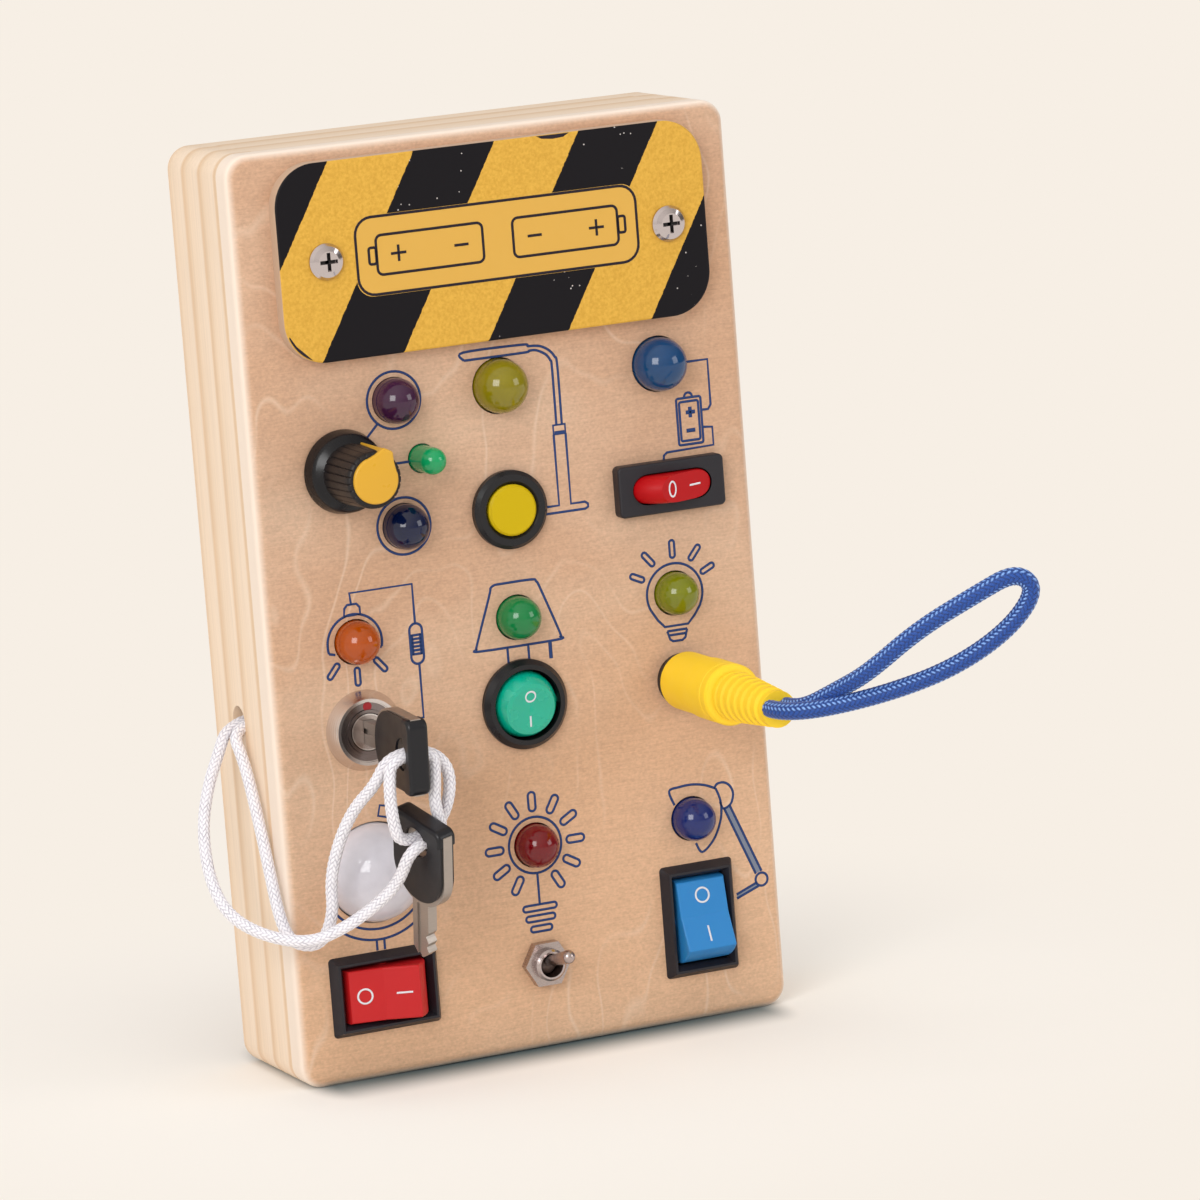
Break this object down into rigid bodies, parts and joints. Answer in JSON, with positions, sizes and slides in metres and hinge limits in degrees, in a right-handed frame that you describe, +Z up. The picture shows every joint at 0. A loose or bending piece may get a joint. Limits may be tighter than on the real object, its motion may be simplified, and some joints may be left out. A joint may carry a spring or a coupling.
{
  "type": "wooden busy board",
  "caption": "Pocket-size wooden switch panel: tinted lamps, rockers, toggle, push button, knob, key lock with keys on a cord, plug with a cord loop, striped battery cover.",
  "frame": {"origin": "middle of the bottom edge, half way through the board", "axes": "+Z up the board, +X to the right seen from the front, the front face looks along -Y"},
  "size_m": [0.1328, 0.1047, 0.172],
  "materials": {
    "plywood": "fine sanded birch plywood",
    "pine": "planed pine, unvarnished",
    "hardboard": "thin plywood back, sanded",
    "plate_yellow": "satin yellow plate with black slanted stripes",
    "steel": "zinc plated",
    "nickel": "nickel plated",
    "brass": "plain",
    "black_plastic": "moulded black nylon",
    "tub_black": "moulded black tub",
    "battery": "printed sleeve over steel",
    "wire": "PVC insulation",
    "knob_black": "satin black",
    "cap_yellow": "satin yellow",
    "button_yellow": "moulded, glossy",
    "rocker_red": "translucent red",
    "rocker_blue": "translucent blue",
    "rocker_green": "translucent green",
    "plug_yellow": "soft moulded yellow",
    "cord_blue": "braided, with pale flecks",
    "cord_white": "twisted soft cord",
    "lens_purple": "clear tinted epoxy",
    "lens_navy": "clear tinted epoxy",
    "lens_small_green": "clear tinted epoxy",
    "lens_yellow": "clear tinted epoxy",
    "lens_blue": "clear tinted epoxy",
    "lens_orange": "clear tinted epoxy",
    "lens_green": "clear tinted epoxy",
    "lens_olive": "clear tinted epoxy",
    "lens_white_dome": "clear tinted epoxy",
    "lens_red": "clear tinted epoxy",
    "lens_violet": "clear tinted epoxy",
    "rocker_oval": "moulded, fine matt texture"
  },
  "bodies": {
    "board": {"front_panel": "plywood", "left_rail": "pine", "right_rail": "pine", "top_rail": "pine", "bottom_rail": "pine", "back_panel": "hardboard", "back_screws": "steel", "battery_box": "tub_black", "batteries": "battery", "battery_contacts": "nickel", "lamp_leads": "nickel", "potentiometer_body": "steel", "potentiometer_nut": "nickel", "button_housing": "black_plastic", "panel_nuts": "nickel", "button_spring": "steel", "oval_switch_housing": "black_plastic", "round_switch_housing": "black_plastic", "red_switch_housing": "black_plastic", "blue_switch_housing": "black_plastic", "switch_terminals": "brass", "toggle_body": "rocker_red", "toggle_bushing": "nickel", "toggle_nut": "nickel", "lock_barrel": "nickel", "jack_socket": "black_plastic", "white_cord": "cord_white", "wiring": "wire", "lamp_purple": "lens_purple", "lamp_navy": "lens_navy", "lamp_small_green": "lens_small_green", "lamp_yellow": "lens_yellow", "lamp_blue": "lens_blue", "lamp_orange": "lens_orange", "lamp_green": "lens_green", "lamp_olive": "lens_olive", "lamp_white_dome": "lens_white_dome", "lamp_red": "lens_red", "lamp_violet": "lens_violet"},
    "battery_cover": {"hazard_plate": "plate_yellow", "plate_screws": "steel"},
    "knob": {"potentiometer_shaft": "steel", "knob_body": "knob_black", "knob_cap": "cap_yellow"},
    "button": {"button_cap": "button_yellow"},
    "oval_switch": {"oval_rocker": "rocker_oval"},
    "round_switch": {"round_rocker": "rocker_green"},
    "red_switch": {"red_rocker": "rocker_red"},
    "blue_switch": {"blue_rocker": "rocker_blue"},
    "toggle": {"toggle_lever": "nickel"},
    "lock_cylinder": {"lock_cylinder": "steel"},
    "key_one": {"key_one_blade": "nickel", "key_one_head": "knob_black"},
    "spare_key": {"spare_key_blade": "nickel", "spare_key_head": "knob_black"},
    "plug": {"plug_pin": "nickel", "plug_body": "plug_yellow", "blue_cord": "cord_blue"}
  },
  "joints": [
    {"name": "cover_lift", "type": "slide", "parent": "board", "child": "battery_cover", "axis": [0, -1, 0], "range_m": [0, 0.012]},
    {"name": "knob_turn", "type": "hinge", "parent": "board", "child": "knob", "pos_m": [-0.0321, -0.01475, 0.113], "axis": [0, -1, 0], "range_deg": [-122, 178]},
    {"name": "button_press", "type": "slide", "parent": "board", "child": "button", "axis": [0, 1, 0], "range_m": [0, 0.002], "stiffness_N_per_m": 500, "springref_m": -0.0015, "deforming": ["button_spring"]},
    {"name": "oval_rock", "type": "hinge", "parent": "board", "child": "oval_switch", "pos_m": [0.0322, -0.01385, 0.1019], "axis": [0, 0, 1], "range_deg": [-40, 0]},
    {"name": "round_rock", "type": "hinge", "parent": "board", "child": "round_switch", "pos_m": [0, -0.01385, 0.0653], "axis": [1, 0, 0], "range_deg": [-18, 0]},
    {"name": "red_rock", "type": "hinge", "parent": "board", "child": "red_switch", "pos_m": [-0.0322, -0.01385, 0.0164], "axis": [0, 0, 1], "range_deg": [0, 34]},
    {"name": "blue_rock", "type": "hinge", "parent": "board", "child": "blue_switch", "pos_m": [0.0322, -0.01385, 0.0195], "axis": [1, 0, 0], "range_deg": [0, 34]},
    {"name": "toggle_flip", "type": "hinge", "parent": "board", "child": "toggle", "pos_m": [0, -0.01475, 0.0163], "axis": [1, 0, 0], "range_deg": [0, 30]},
    {"name": "key_turn", "type": "hinge", "parent": "board", "child": "lock_cylinder", "pos_m": [-0.032, -0.01475, 0.0651], "axis": [0, 1, 0], "range_deg": [0, 67], "deforming": ["white_cord"]},
    {"name": "key_pull", "type": "slide", "parent": "lock_cylinder", "child": "key_one", "axis": [0, -1, 0], "range_m": [0, 0.006], "deforming": ["white_cord"]},
    {"name": "spare_key_swing", "type": "hinge", "parent": "board", "child": "spare_key", "pos_m": [-0.0305, -0.03505, 0.0478], "axis": [0.9604, 0.2241, 0.1658], "range_deg": [-60, 5], "deforming": ["white_cord"]},
    {"name": "plug_pull", "type": "slide", "parent": "board", "child": "plug", "axis": [0, -1, 0], "range_m": [0, 0.0095]}
  ]
}
